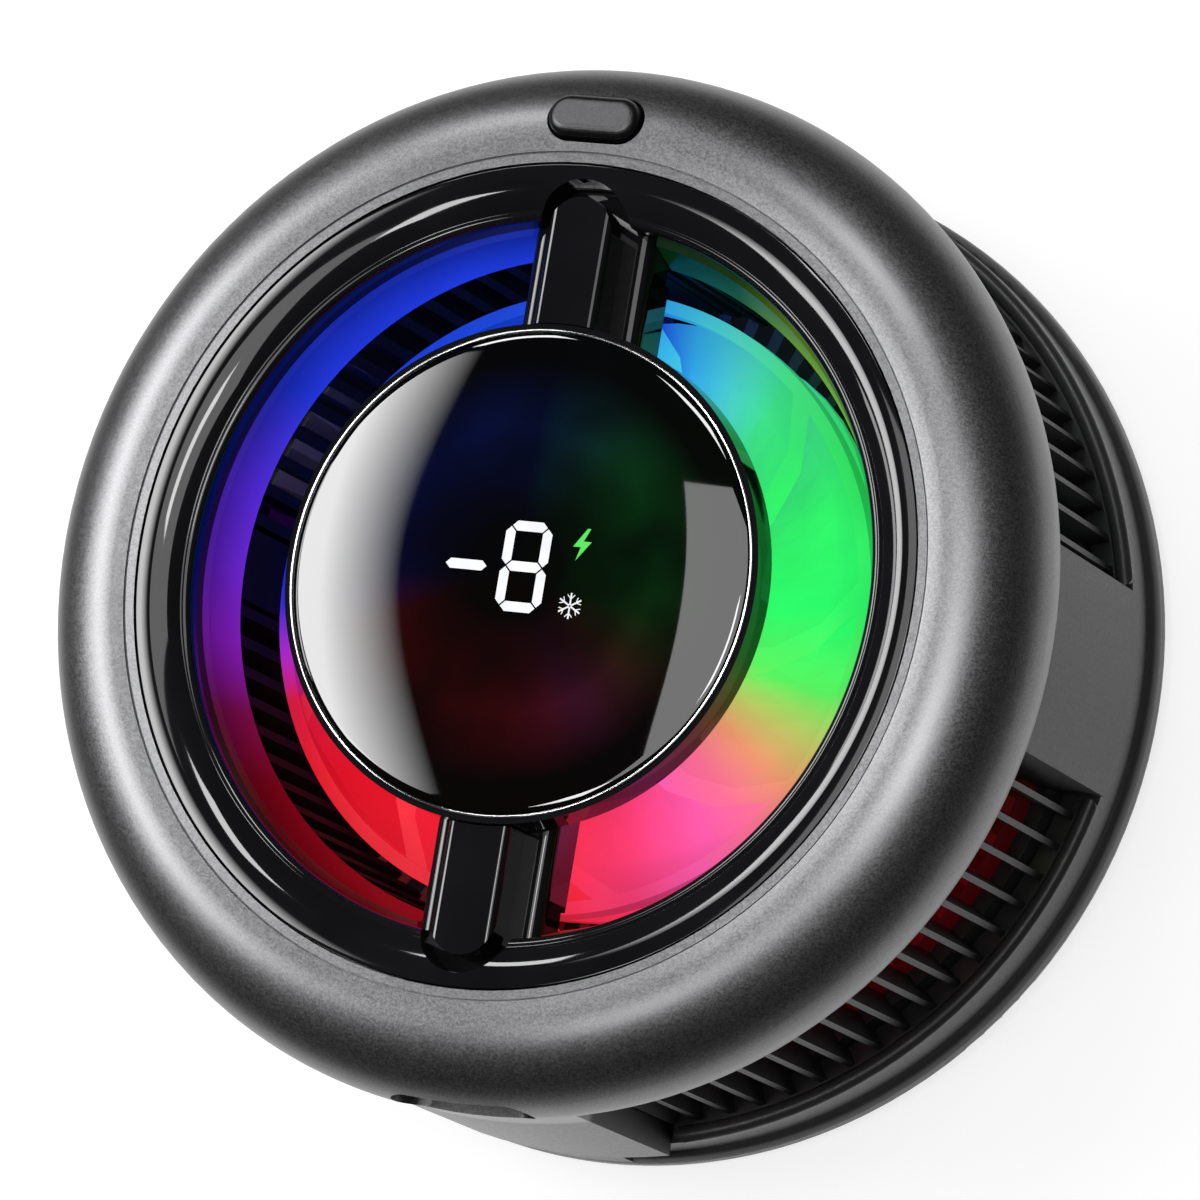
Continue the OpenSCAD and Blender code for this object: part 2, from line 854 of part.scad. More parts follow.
module foam_gasket() {
  hole = tec_w + 4 * fit;
  color("#3a3a3a")
    difference() {
      translate([0, 0, cold_top])
        cylinder(r = gasket_r, h = sink_z - cold_top);
      translate([-hole / 2, -hole / 2, cold_top - weld])
        cube([hole, hole, sink_z - cold_top + 2 * weld]);
    }
}

module cold_plate() {
  color("#b9bdc2")
    union() {
      translate([0, 0, floor_z])
        cylinder(r = cold_r, h = floor_t + weld);
      translate([0, 0, floor_top])
        cylinder(r = cold_flange_r, h = cold_t);
    }
}

module thermal_pad() {
  color("#5f6368")
    cylinder(r = pad_r, h = pad_t);
}

// Section of the rear drum: floor, wall under the cage, neck, and a rim with a rounded foot and shoulder
module base_profile() {
  translate([cold_hole_r, floor_z])
    square([rim_c - cold_hole_r, floor_t]);
  translate([base_wall_r, floor_z])
    square([rim_c - base_wall_r, channel_z - floor_z]);
  translate([channel_r, floor_z])
    square([rim_c - channel_r, rim_h - shoulder]);
  translate([channel_r, floor_z + base_foot])
    square([base_r - channel_r, rim_h - base_foot - shoulder]);
  translate([channel_r, floor_z + base_foot])
    square([base_r - shoulder - channel_r, rim_h - base_foot]);
  translate([rim_c, floor_z + base_foot])
    circle(base_foot);
  translate([base_r - shoulder, rim_top - shoulder])
    circle(shoulder);
  translate([channel_r, floor_z + base_foot])
    square([neck_r - channel_r, base_h - base_foot]);
}

// Section of the heel, which stands on the rim and fills the neck
module heel_profile() {
  translate([neck_r - weld, rim_top - shoulder])
    square([heel_r - neck_r + weld, base_top - rim_top + shoulder - heel_round]);
  translate([neck_r - weld, rim_top - shoulder])
    square([heel_r - heel_round - neck_r + weld, base_top - rim_top + shoulder]);
  translate([heel_r - heel_round, base_top - heel_round])
    circle(heel_round);
}

// Flat band along the bead from column to column, with round ends
module bead_band() {
  half = asin((col_w / 2 + bead_gap) / bead_c);
  band = 0.9 * bead_r;
  rotate(quarter / 2)
    sector_shape(bead_c - band, bead_c + band, quarter / 2 - half);
  for (e = [half, quarter - half])
    translate([bead_c * cos(e), bead_c * sin(e)])
      circle(band);
}

module rear_base() {
  color("#26272a")
    difference() {
      union() {
        rotate_extrude()
          base_profile();
        intersection() {
          rotate_extrude()
            heel_profile();
          linear_extrude(base_top + weld)
            rotate(-90 + heel_turn)
              sector_shape(neck_r - 2 * weld, ring_r, heel_half);
        }
        intersection() {
          rotate_extrude()
            translate([bead_c, base_top])
              circle(bead_r);
          translate([0, 0, base_top - bead_r])
            linear_extrude(2 * bead_r)
              at_columns()
                bead_band();
        }
      }
      hoop(magnet_in - fit, magnet_out + fit, magnet_z, floor_top + weld);
      at_columns()
        translate([case_screw_c, 0, floor_z]) {
          translate([0, 0, -weld])
            cylinder(r = case_head_r + fit, h = case_head_h + fit + weld);
          cylinder(r = case_screw_r + fit, h = base_top);
        }
    }
}

module magnets() {
  half = 180 / magnet_n - 1.2;
  color("#c3c6ca")
    for (i = [0 : magnet_n - 1])
      rotate((i + 0.5) * 360 / magnet_n)
        translate([0, 0, magnet_z])
          linear_extrude(magnet_t)
            sector_shape(magnet_in, magnet_out, half);
}

module friction_ring() {
  color("#3f4247")
    hoop(friction_in, friction_out, 0, pad_t);
}

module main_board() {
  color("#163a26")
    translate([0, 0, board_z])
      rotate(-90)
        linear_extrude(board_t)
          sector_shape(board_in, board_out, board_half);
}

module usb_shell() {
  color("#c8cacc")
    translate([0, -usb_mouth, usb_z])
      rotate([-90, 0, 0])
        difference() {
          linear_extrude(usb_mouth - board_in)
            slot_shape(usb_w, usb_h);
          translate([0, 0, -weld])
            linear_extrude(usb_mouth - board_in - usb_t + weld)
              slot_shape(usb_w - 2 * usb_t, usb_h - 2 * usb_t);
        }
}

module usb_tongue() {
  back = 1.2;
  depth = usb_mouth - board_in - usb_t;
  short = 0.9;
  color("#1b1b1d")
    translate([0, -usb_mouth + depth, usb_z])
      rotate([90, 0, 0]) {
        linear_extrude(back)
          slot_shape(usb_w - 2 * usb_t - fit, usb_h - 2 * usb_t - fit);
        translate([0, 0, back - weld])
          linear_extrude(depth - back - short + weld)
            square([usb_w - 2 * tongue_side, tongue_t], center = true);
      }
}

module button_board() {
  color("#163a26")
    at_button()
      translate([-btn_board_l / 2, -btn_board_w / 2, btn_board_z])
        cube([btn_board_l, btn_board_w, btn_board_t]);
}

module tact_switch() {
  color("#1c1c1f")
    at_button()
      translate([0, 0, switch_z])
        difference() {
          translate([-switch_l / 2, -switch_w / 2, 0])
            cube([switch_l, switch_w, switch_h]);
          translate([0, 0, switch_h - (plunger_l - switch_room - fit)])
            cylinder(r = plunger_r + play, h = switch_h);
        }
}

module switch_plunger() {
  color("#d8d8d4")
    at_button()
      translate([0, 0, btn_flange_z - plunger_l + btn_travel])
        cylinder(r = plunger_r, h = plunger_l - btn_travel);
}

module power_button() {
  top = roll_r + btn_proud;
  color("#303236")
    at_button() {
      translate([-btn_flange_l / 2, -btn_flange_w / 2, btn_flange_z])
        cube([btn_flange_l, btn_flange_w, btn_flange_t]);
      translate([0, 0, btn_flange_z])
        linear_extrude(top - btn_round - btn_flange_z)
          slot_shape(btn_l, btn_w);
      hull()
        for (s = [-1, 1])
          translate([s * (btn_l - btn_w) / 2, 0, top - btn_round])
            rotate_extrude($fn = 32)
              intersection() {
                union() {
                  square([btn_w / 2 - btn_round, btn_round]);
                  translate([btn_w / 2 - btn_round, 0])
                    circle(btn_round);
                }
                square(btn_w);
              }
    }
}

module motor_plate() {
  color("#55585c")
    difference() {
      union() {
        translate([0, 0, sink_top])
          cylinder(r = motor_plate_r, h = motor_top - sink_top);
        translate([0, 0, sink_top])
          cylinder(r = tube_r + tube_step, h = stator_z - sink_top);
        translate([0, 0, sink_top])
          cylinder(r = tube_r, h = stator_top - sink_top);
      }
      translate([0, 0, sleeve_z])
        cylinder(r = sleeve_r + play / 2, h = through);
      for (i = [0 : 2])
        rotate(i * 120)
          translate([motor_screw_c, 0, sink_top - weld]) {
            cylinder(r = motor_screw_r + fit, h = motor_top);
            translate([0, 0, motor_top - sink_top + weld - motor_head_h])
              cylinder(r = motor_head_r + fit, h = motor_head_h + weld);
          }
    }
}

module motor_board() {
  color("#2a5c2f")
    hoop(tube_r + tube_step + fit, stator_r, motor_top, motor_top + motor_board_t);
}

module bearing_sleeve() {
  color("#b08d57")
    hoop(shaft_r + play, sleeve_r, sleeve_z, sleeve_top);
}

module stator_core() {
  color("#6e7276")
    translate([0, 0, stator_z])
      linear_extrude(stator_h)
        difference() {
          union() {
            circle(tube_r + core_t);
            for (i = [0 : poles - 1])
              rotate(i * 360 / poles) {
                translate([tube_r, -arm_w / 2])
                  square([stator_r - shoe_t / 2 - tube_r, arm_w]);
                sector_shape(stator_r - shoe_t, stator_r, shoe_half);
              }
          }
          circle(tube_r + play / 2);
        }
}

module stator_coils() {
  inner_w = arm_w + fit;
  inner_h = stator_h + fit;
  side = inner_w / 2 + coil_wall;
  reach = sqrt(pow(stator_r - shoe_t, 2) - side * side) - fit - (tube_r + core_t + fit);
  color("#b5651d")
    for (i = [0 : poles - 1])
      rotate(i * 360 / poles)
        translate([tube_r + core_t + fit, 0, stator_z + stator_h / 2])
          rotate([90, 0, 90])
            linear_extrude(reach)
              difference() {
                square([inner_w + 2 * coil_wall, inner_h + 2 * coil_end], center = true);
                square([inner_w, inner_h], center = true);
              }
}

// Flat outline of one blade: a band that sweeps back from the hub to the tip hoop
function blade_edge(side) =
  [for (k = [0 : blade_steps])
     let (r = blade_root + k * (blade_tip - blade_root) / blade_steps,
          a = blade_sweep * pow(k / blade_steps, 2) + side * blade_t / 2 / r * 180 / PI)
       [r * cos(a), r * sin(a)]];
function flip(list) = [for (i = [len(list) - 1 : -1 : 0]) list[i]];

module impeller() {
  color("#e9eef5", 0.9)
    union() {
      hoop(hub_r - hub_t, hub_r, fan_z, fan_top - hub_cap / 2);
      translate([0, 0, rotor_top])
        cylinder(r = hub_r, h = hub_cap);
      hoop(fan_r - fan_hoop, fan_r, fan_top - fan_hoop_h, fan_top);
      translate([0, 0, fan_z + weld])
        linear_extrude(fan_top - fan_z - 2 * weld, twist = blade_turn, slices = 8, $fn = 12)
          for (i = [0 : blades - 1])
            rotate(i * 360 / blades)
              polygon(concat(blade_edge(-1), flip(blade_edge(1))));
    }
}

module rotor_cup() {
  color("#9aa0a6")
    difference() {
      union() {
        hoop(rotor_r - rotor_t, rotor_r, rotor_z, rotor_top);
        translate([0, 0, rotor_top - rotor_t])
          cylinder(r = rotor_r - rotor_t / 2, h = rotor_t);
        translate([0, 0, sleeve_top + run_gap])
          cylinder(r = collar_r, h = rotor_top - sleeve_top - run_gap);
      }
      translate([0, 0, sleeve_top])
        cylinder(r = shaft_r + play / 5, h = through);
    }
}

module rotor_magnet() {
  color("#4a4d52")
    hoop(ring_magnet_r - ring_magnet_t, ring_magnet_r, ring_magnet_z, rotor_top - rotor_t - run_gap);
}

module shaft() {
  color("#d5d8db")
    translate([0, 0, shaft_z])
      cylinder(r = shaft_r, h = rotor_top - shaft_z);
}

// Screw with a flat head, head down, shank up
module screw(r, l, head_r, head_h) {
  cylinder(r = head_r, h = head_h);
  cylinder(r = r, h = l);
}

module case_screws() {
  color("#8a8d91")
    at_columns()
      translate([case_screw_c, 0, floor_z + fit])
        screw(case_screw_r, case_screw_l, case_head_r, case_head_h);
}

module motor_screws() {
  color("#8a8d91")
    for (i = [0 : 2])
      rotate(i * 120)
        translate([motor_screw_c, 0, motor_top])
          mirror([0, 0, 1])
            screw(motor_screw_r, motor_screw_l, motor_head_r, motor_head_h);
}

module display_screws() {
  color("#8a8d91")
    for (s = [-1, 1])
      translate([0, s * disp_screw_c, keel_z])
        screw(disp_screw_r, beam_h + keel_h + cup_floor, disp_head_r, disp_head_h - fit);
}

front_ring();
bezel_funnel();
bridge_bar();
display_cup();
display_lens();
lens_trim();
display_board();
digit_block();
light_ring();
led_board();
led_chips();
vent_cage();
heat_sink();
hot_ceramic();
pellets();
cold_ceramic();
foam_gasket();
cold_plate();
thermal_pad();
rear_base();
magnets();
friction_ring();
main_board();
usb_shell();
usb_tongue();
button_board();
tact_switch();
switch_plunger();
power_button();
motor_plate();
motor_board();
bearing_sleeve();
stator_core();
stator_coils();
impeller();
rotor_cup();
rotor_magnet();
shaft();
case_screws();
motor_screws();
display_screws();
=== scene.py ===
import math
import bpy
import numpy as np
from mathutils import Matrix, Quaternion, Vector


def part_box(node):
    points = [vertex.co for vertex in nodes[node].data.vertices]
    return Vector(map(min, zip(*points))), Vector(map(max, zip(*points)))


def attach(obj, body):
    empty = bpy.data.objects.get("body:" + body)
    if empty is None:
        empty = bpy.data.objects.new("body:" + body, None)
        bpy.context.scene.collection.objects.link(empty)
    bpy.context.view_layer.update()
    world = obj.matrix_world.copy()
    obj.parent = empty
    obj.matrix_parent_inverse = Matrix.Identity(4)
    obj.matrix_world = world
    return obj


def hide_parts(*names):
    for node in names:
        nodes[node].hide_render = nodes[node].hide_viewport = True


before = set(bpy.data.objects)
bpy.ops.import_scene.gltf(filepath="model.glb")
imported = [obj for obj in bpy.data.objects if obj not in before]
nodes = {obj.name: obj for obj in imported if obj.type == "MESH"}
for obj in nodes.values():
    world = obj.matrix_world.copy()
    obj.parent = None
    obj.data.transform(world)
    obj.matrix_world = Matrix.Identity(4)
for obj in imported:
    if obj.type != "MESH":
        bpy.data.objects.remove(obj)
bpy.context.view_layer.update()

# Rear base
# A shallow drum moulded in black polycarbonate, with a spark-eroded grain from the mould. It takes the
# magnets from inside, four screws from behind, and a silicone ring and a soft pad on its rear face.


def add(tree, kind, settings=None, **inputs):
    """New shader node. Settings are its properties; inputs are values, or sockets to link from.

    An input is named with _ for each space (Base_Color), or by its place (_0, _1).
    """
    made = tree.nodes.new("ShaderNode" + kind)
    for key, value in (settings or {}).items():
        setattr(made, key, value)
    for key, value in inputs.items():
        socket = made.inputs[int(key[1:]) if key[1:].isdigit() else key.replace("_", " ")]
        if isinstance(value, bpy.types.NodeSocket):
            tree.links.new(value, socket)
        else:
            socket.default_value = value
    return made


def effect(name, inputs, outputs):
    """Empty shader group with (name, kind, value) inputs; outputs carry the shader sockets' own names."""
    tree = bpy.data.node_groups.new(name, "ShaderNodeTree")
    for title, kind, value in inputs:
        socket = tree.interface.new_socket(title, in_out="INPUT", socket_type="NodeSocket" + kind)
        socket.default_value = value
    for title in outputs:
        kind = "Color" if title.endswith("Color") else "Float"
        tree.interface.new_socket(title, in_out="OUTPUT", socket_type="NodeSocket" + kind)
    given = tree.nodes.new("NodeGroupInput").outputs
    result = tree.nodes.new("NodeGroupOutput").inputs
    return tree, given, result, add(tree, "TexCoord").outputs["Object"]


def skin(name, group, values, depth=0.0, **sockets):
    """Material in which one effect group feeds a Principled shader by socket name.

    Values go to the group, sockets to the shader. The group's Height is a bump of the given depth in metres.
    """
    material = bpy.data.materials.new(name)
    material.use_nodes = True
    tree = material.node_tree
    shader = tree.nodes["Principled BSDF"]
    source = add(tree, "Group", {"node_tree": group})
    for key, value in values.items():
        source.inputs[key].default_value = value
    for output in source.outputs:
        if output.name == "Height":
            bump = add(tree, "Bump", Height=output, Distance=depth)
            tree.links.new(bump.outputs["Normal"], shader.inputs["Normal"])
        else:
            tree.links.new(output, shader.inputs[output.name])
    for key, value in sockets.items():
        shader.inputs[key.replace("_", " ")].default_value = value
    return material


def wear(material, *names):
    """Gives a material to CAD nodes."""
    for name in names:
        nodes[name].data.materials.clear()
        nodes[name].data.materials.append(material)


def scaled(tree, colour, factor):
    """Colour multiplied by a factor, as a socket."""
    return add(tree, "VectorMath", {"operation": "SCALE"}, _0=colour, Scale=factor).outputs[0]


def spread(tree, value, low, high, start=0.3, end=0.7):
    """Value stretched from start..end to low..high, as a socket."""
    limits = {"From_Min": start, "From_Max": end, "To_Min": low, "To_Max": high}
    return add(tree, "MapRange", Value=value, **limits).outputs[0]


def surface(tree, result, colour, tone, gloss, change, height):
    """Fills a group's outputs: the colour times a tone, the gloss plus a change, and the height."""
    tree.links.new(scaled(tree, colour, tone), result["Base Color"])
    tree.links.new(add(tree, "Math", _0=gloss, _1=change).outputs[0], result["Roughness"])
    tree.links.new(height, result["Height"])


# Moulded grain: fine noise for the pits, slow noise for a faint change of tone across the piece
moulded, given, result, place = effect(
    "moulded", [("Colour", "Color", (0.05, 0.05, 0.05, 1)), ("Grain", "Float", 4000.0),
                ("Gloss", "Float", 0.45)], ["Base Color", "Roughness", "Height"])
pits = add(moulded, "TexNoise", Vector=place, Scale=given["Grain"], Detail=3.0).outputs[0]
tone = add(moulded, "TexNoise", Vector=place, Scale=80.0, Detail=2.0).outputs[0]
surface(moulded, result, given["Colour"], spread(moulded, tone, 0.88, 1.12),
        given["Gloss"], spread(moulded, pits, -0.06, 0.06), pits)


def plastic(name, colour, grain, gloss, depth=2e-6):
    """Moulded material: colour, pits to the metre, roughness, and depth of the pits in metres."""
    return skin(name, moulded, {"Colour": (*colour, 1), "Grain": grain, "Gloss": gloss}, depth)


wear(plastic("base_plastic", (0.042, 0.042, 0.044), 5000.0, 0.36), "rear_base")
wear(plastic("silicone_black", (0.03, 0.03, 0.033), 2500.0, 0.62, 4e-6), "friction_ring")
wear(plastic("silicone_grey", (0.11, 0.115, 0.12), 1800.0, 0.55, 6e-6), "thermal_pad")

# Magnets and thermoelectric stack
# Sixteen plated magnets lie in the base. Above the turned cold plate two ceramic plates hold the pellets,
# and closed-cell foam fills the space around them; nothing here shows from outside but the pad.


def stretched(tree, place, factors):
    """Place with each axis multiplied by its factor, as a socket."""
    return add(tree, "VectorMath", {"operation": "MULTIPLY"}, _0=place, _1=factors).outputs[0]


# Brushed metal: noise drawn out along one direction by scaling the coordinates before it
brushed, given, result, place = effect(
    "brushed", [("Colour", "Color", (0.6, 0.6, 0.6, 1)), ("Stretch", "Vector", (2000, 2000, 80)),
                ("Gloss", "Float", 0.3)], ["Base Color", "Roughness", "Height"])
drawn = stretched(brushed, place, given["Stretch"])
lines = add(brushed, "TexNoise", Vector=drawn, Scale=1.0, Detail=4.0).outputs[0]
surface(brushed, result, given["Colour"], spread(brushed, lines, 0.82, 1.15),
        given["Gloss"], spread(brushed, lines, -0.08, 0.08), lines)


def metal(name, colour, stretch, gloss, depth=2e-6):
    """Brushed metal: colour, lines to the metre along each axis, roughness, and depth of the lines in metres."""
    return skin(name, brushed, {"Colour": (*colour, 1), "Stretch": stretch, "Gloss": gloss}, depth,
                Metallic=1.0)


wear(metal("magnet_nickel", (0.62, 0.6, 0.56), (900, 900, 900), 0.22), "magnets", "rotor_magnet")
wear(metal("plate_metal", (0.72, 0.73, 0.74), (1500, 60, 900), 0.28), "cold_plate")
wear(plastic("ceramic", (0.72, 0.71, 0.68), 3000.0, 0.5), "hot_ceramic", "cold_ceramic")
wear(metal("pellet_alloy", (0.3, 0.3, 0.32), (3000, 3000, 300), 0.45, 4e-6), "pellets")
wear(plastic("foam", (0.035, 0.035, 0.035), 900.0, 0.9, 6e-5), "foam_gasket")

# Vent cage
# The side of the body: four columns joined by two hoops, with thin upright slats in front of the fins. It is
# moulded in the same grained plastic as the base, a tone lighter, and the case screws draw the two together.
wear(plastic("cage_plastic", (0.075, 0.075, 0.078), 5000.0, 0.46), "vent_cage")

# Motor
# A plated steel plate screwed to the heat sink carries the brass bearing and the wound stator; the drawn rotor
# cup, its ring magnet and the ground shaft turn with the fan.

# Winding: fine bands stacked along Z, for enamelled wire
winding, given, result, place = effect("winding", [("Colour", "Color", (0.75, 0.3, 0.1, 1))],
                                       ["Base Color", "Roughness", "Height"])
turns = add(winding, "TexWave", {"bands_direction": "Z"}, Vector=place, Scale=1600.0, Distortion=0.6,
            Detail=1.0).outputs[1]
shade = spread(winding, turns, 0.6, 1.1, 0.0, 1.0)
winding.links.new(scaled(winding, given["Colour"], shade), result["Base Color"])
winding.links.new(spread(winding, turns, 0.42, 0.28, 0.0, 1.0), result["Roughness"])
winding.links.new(turns, result["Height"])


def mixed(tree, share, first, second):
    """Two colours mixed by the share of the second, as a socket."""
    return add(tree, "Mix", {"data_type": "RGBA"}, _0=share, _6=first, _7=second).outputs[2]


# Circuit board: lacquer with copper tracks showing faintly along the edges of a cell pattern
board, given, result, place = effect(
    "board", [("Colour", "Color", (0.015, 0.07, 0.04, 1)), ("Track", "Color", (0.06, 0.16, 0.07, 1))],
    ["Base Color", "Roughness", "Height"])
cells = add(board, "TexVoronoi", {"feature": "DISTANCE_TO_EDGE"}, Vector=place, Scale=650.0).outputs[0]
track = spread(board, cells, 1.0, 0.0, 0.05, 0.09)
board.links.new(mixed(board, track, given["Colour"], given["Track"]), result["Base Color"])
board.links.new(spread(board, track, 0.4, 0.28, 0.0, 1.0), result["Roughness"])
board.links.new(track, result["Height"])

wear(metal("motor_steel", (0.55, 0.56, 0.58), (1200, 1200, 90), 0.26),
     "motor_plate", "rotor_cup", "stator_core", "shaft")
wear(metal("bearing_brass", (0.78, 0.57, 0.27), (900, 900, 90), 0.3), "bearing_sleeve")
wear(skin("coil_copper", winding, {}, 2e-5, Metallic=0.8), "stator_coils")
wear(skin("circuit_board", board, {}, 1e-5, Coat_Weight=0.4),
     "motor_board", "led_board", "main_board", "button_board", "display_board")
wear(metal("screw_steel", (0.5, 0.5, 0.51), (1500, 1500, 1500), 0.3),
     "case_screws", "motor_screws", "display_screws")

# Fan and light ring
# Nine swept blades moulded in clear acrylic run inside a translucent ring. Coloured chips under the front ring
# shine into both, and the colour each takes from its place round the axis is painted on as a glow, with painted
# shade where it fades.


def product(tree, first, second):
    """Two values multiplied, as a socket."""
    return add(tree, "Math", {"operation": "MULTIPLY"}, _0=first, _1=second).outputs[0]


def outward(tree, place):
    """Way from the axis Z to a place, as a socket."""
    return stretched(tree, place, (1, 1, 0))


def from_axis(tree, place):
    """Distance of a place from the axis Z, as a socket."""
    return add(tree, "VectorMath", {"operation": "LENGTH"}, _0=outward(tree, place)).outputs["Value"]


def upward(tree):
    """How far a face looks up, which is the Z of its normal, as a socket."""
    return add(tree, "SeparateXYZ", Vector=add(tree, "NewGeometry").outputs["Normal"]).outputs[2]


def around(tree, place, stops):
    """Angle round Z in radians, and its colour on a ramp of (degrees, sRGB colour) stops, as sockets."""
    axes = add(tree, "SeparateXYZ", Vector=place).outputs
    turn = add(tree, "Math", {"operation": "ARCTAN2"}, _0=axes[1], _1=axes[0]).outputs[0]
    ramp = add(tree, "ValToRGB", Fac=spread(tree, turn, 0.0, 1.0, -math.pi, math.pi))
    marks = ramp.color_ramp.elements
    for angle, _ in stops[1:-1]:
        marks.new((angle + 180) / 360)
    for mark, (_, colour) in zip(marks, stops):
        mark.color = (*(np.array(colour) / 255.0) ** 2.2, 1)
    return turn, ramp.outputs[0]


def lit(name, stops, inner, outer, faint):
    """Effect group: colour by the angle round Z that fades to the faint share between two radii in metres.

    It also fades on faces that look sideways, to the share given as Side. Both fades are painted shade, and on the
    fan, which is no lamp, the glow itself and its faint base colour are painted light.
    """
    tree, given, result, place = effect(name, [("Side", "Float", 0.6)],
                                        ["Emission Color", "Base Color", "Roughness"])
    _, colour = around(tree, place, stops)
    fade = spread(tree, from_axis(tree, place), 1.0, faint, inner, outer)
    # Painted shade: faces that look sideways glow less
    painted_side_shade = spread(tree, upward(tree), given["Side"], 1.0, 0.0, 1.0)
    cloud = add(tree, "TexNoise", Vector=place, Scale=160.0, Detail=1.0).outputs[0]
    level = product(tree, product(tree, fade, painted_side_shade), spread(tree, cloud, 0.92, 1.08))
    tree.links.new(scaled(tree, colour, level), result["Emission Color"])
    tree.links.new(scaled(tree, colour, 0.05), result["Base Color"])
    tree.links.new(spread(tree, cloud, 0.22, 0.34), result["Roughness"])
    return tree


fan_light = lit("fan_light", [
    (-180, (26, 48, 224)), (-174, (52, 48, 222)), (-165, (176, 46, 214)), (-156, (228, 34, 70)),
    (-140, (240, 28, 46)), (-85, (252, 48, 66)), (-68, (255, 66, 120)), (-54, (255, 92, 172)),
    (-42, (255, 112, 150)), (-32, (240, 150, 112)), (-22, (190, 206, 104)), (-12, (92, 246, 100)),
    (4, (50, 255, 108)), (32, (54, 240, 104)), (52, (64, 222, 130)), (66, (76, 206, 196)),
    (80, (58, 176, 240)), (90, (34, 84, 232)), (180, (26, 48, 224))], 0.0165, 0.0193, 0.8)
ring_light = lit("ring_light", [
    (-180, (104, 44, 206)), (-166, (130, 34, 180)), (-154, (112, 20, 66)), (-140, (104, 12, 26)),
    (-90, (120, 12, 20)), (-60, (120, 50, 30)), (-25, (124, 132, 14)), (10, (126, 156, 12)),
    (50, (100, 132, 10)), (64, (20, 66, 16)), (80, (8, 46, 22)), (88, (10, 36, 60)), (95, (34, 62, 214)),
    (150, (40, 58, 220)), (168, (84, 46, 210)), (180, (104, 44, 206))], 0.021, 0.0218, 0.5)
# Painted light: the fan is no lamp, and its glow and faint base tint in the colours round the axis stand in for the
# chips' light
wear(skin("lit_impeller", fan_light, {"Side": 0.64}, Emission_Strength=1.0, Specular_IOR_Level=0.15), "impeller")
wear(skin("lit_guide", ring_light, {"Side": 0.9}, Emission_Strength=1.0, Specular_IOR_Level=0.1), "light_ring")
wear(skin("led", fan_light, {"Side": 1.0}, Emission_Strength=30.0), "led_chips")

# Heat sink
# Skived from one black-anodised aluminium blank: a round plate with fifty-six thin fins standing in a ring, and a
# solid boss at each column of the cage. The light of the fan reaching out between the fins is painted on them as a
# glow.

# Fin metal: dark anodising, with a painted highlight along one upper edge of each fin, a lighter colour there. That
# edge and the outer end of the fin carry a painted glow in the fan's colours.
fin_metal, given, result, place = effect(
    "fin_metal", [("Colour", "Color", (0.02, 0.02, 0.022, 1)), ("Highlight", "Color", (0.05, 0.05, 0.055, 1)),
                  ("Glow", "Float", 0.14)], ["Base Color", "Roughness", "Emission Color", "Height"])
# Painted glow colours of the fan's light on the fins, by the angle round Z
turn, colour = around(fin_metal, place, [
    (-180, (60, 0, 40)), (-150, (120, 0, 20)), (-24, (120, 2, 22)), (-6, (30, 30, 8)), (12, (6, 64, 26)),
    (60, (6, 56, 40)), (90, (8, 20, 110)), (150, (10, 20, 110)), (180, (60, 0, 40))])
radius = from_axis(fin_metal, place)
fin_places = 68  # fifty-six fins, and the places that the four bosses take
highlight_start, highlight_full = 0.00165, 0.0021  # off the middle of a fin, in places times the radius
end_start, end_full = 0.0238, 0.0264  # radii of the outer end of a fin
step = product(fin_metal, turn, fin_places / (2 * math.pi))
within = add(fin_metal, "Math", {"operation": "FRACT"}, _0=step).outputs[0]
offset = add(fin_metal, "Math", {"operation": "SUBTRACT"}, _0=within, _1=0.5).outputs[0]
# Painted highlight: a lighter colour and a glow along one upper edge of each fin, on faces that look up
painted_edge_highlight = product(fin_metal, spread(fin_metal, product(fin_metal, offset, radius), 0.0, 1.0, highlight_start, highlight_full),
              spread(fin_metal, upward(fin_metal), 0.0, 1.0, 0.5, 0.9))
drawn = stretched(fin_metal, place, (700, 700, 4000))
lines = add(fin_metal, "TexNoise", Vector=drawn, Scale=1.0, Detail=3.0).outputs[0]
paint = mixed(fin_metal, painted_edge_highlight, given["Colour"], given["Highlight"])
# Painted glow: on that edge and at the outer end of each fin
glow = add(fin_metal, "Math", {"operation": "MAXIMUM"}, _1=product(fin_metal, painted_edge_highlight, 2.0),
           _0=spread(fin_metal, radius, 0.0, 1.0, end_start, end_full)).outputs[0]
glow = product(fin_metal, glow, given["Glow"])
fin_metal.links.new(scaled(fin_metal, paint, spread(fin_metal, lines, 0.85, 1.15)), result["Base Color"])
fin_metal.links.new(spread(fin_metal, lines, 0.42, 0.56), result["Roughness"])
fin_metal.links.new(scaled(fin_metal, colour, glow), result["Emission Color"])
fin_metal.links.new(lines, result["Height"])
wear(skin("fin_anodised", fin_metal, {}, 2e-6, Specular_IOR_Level=0.04, Emission_Strength=1.0), "heat_sink")

# Front ring
# The rolled outer shell: spun metal, sprayed with a satin gunmetal paint whose flakes show as a fine sparkle. The
# lines of the spinning show through the thin paint, so the light spreads more across the ring than round it.

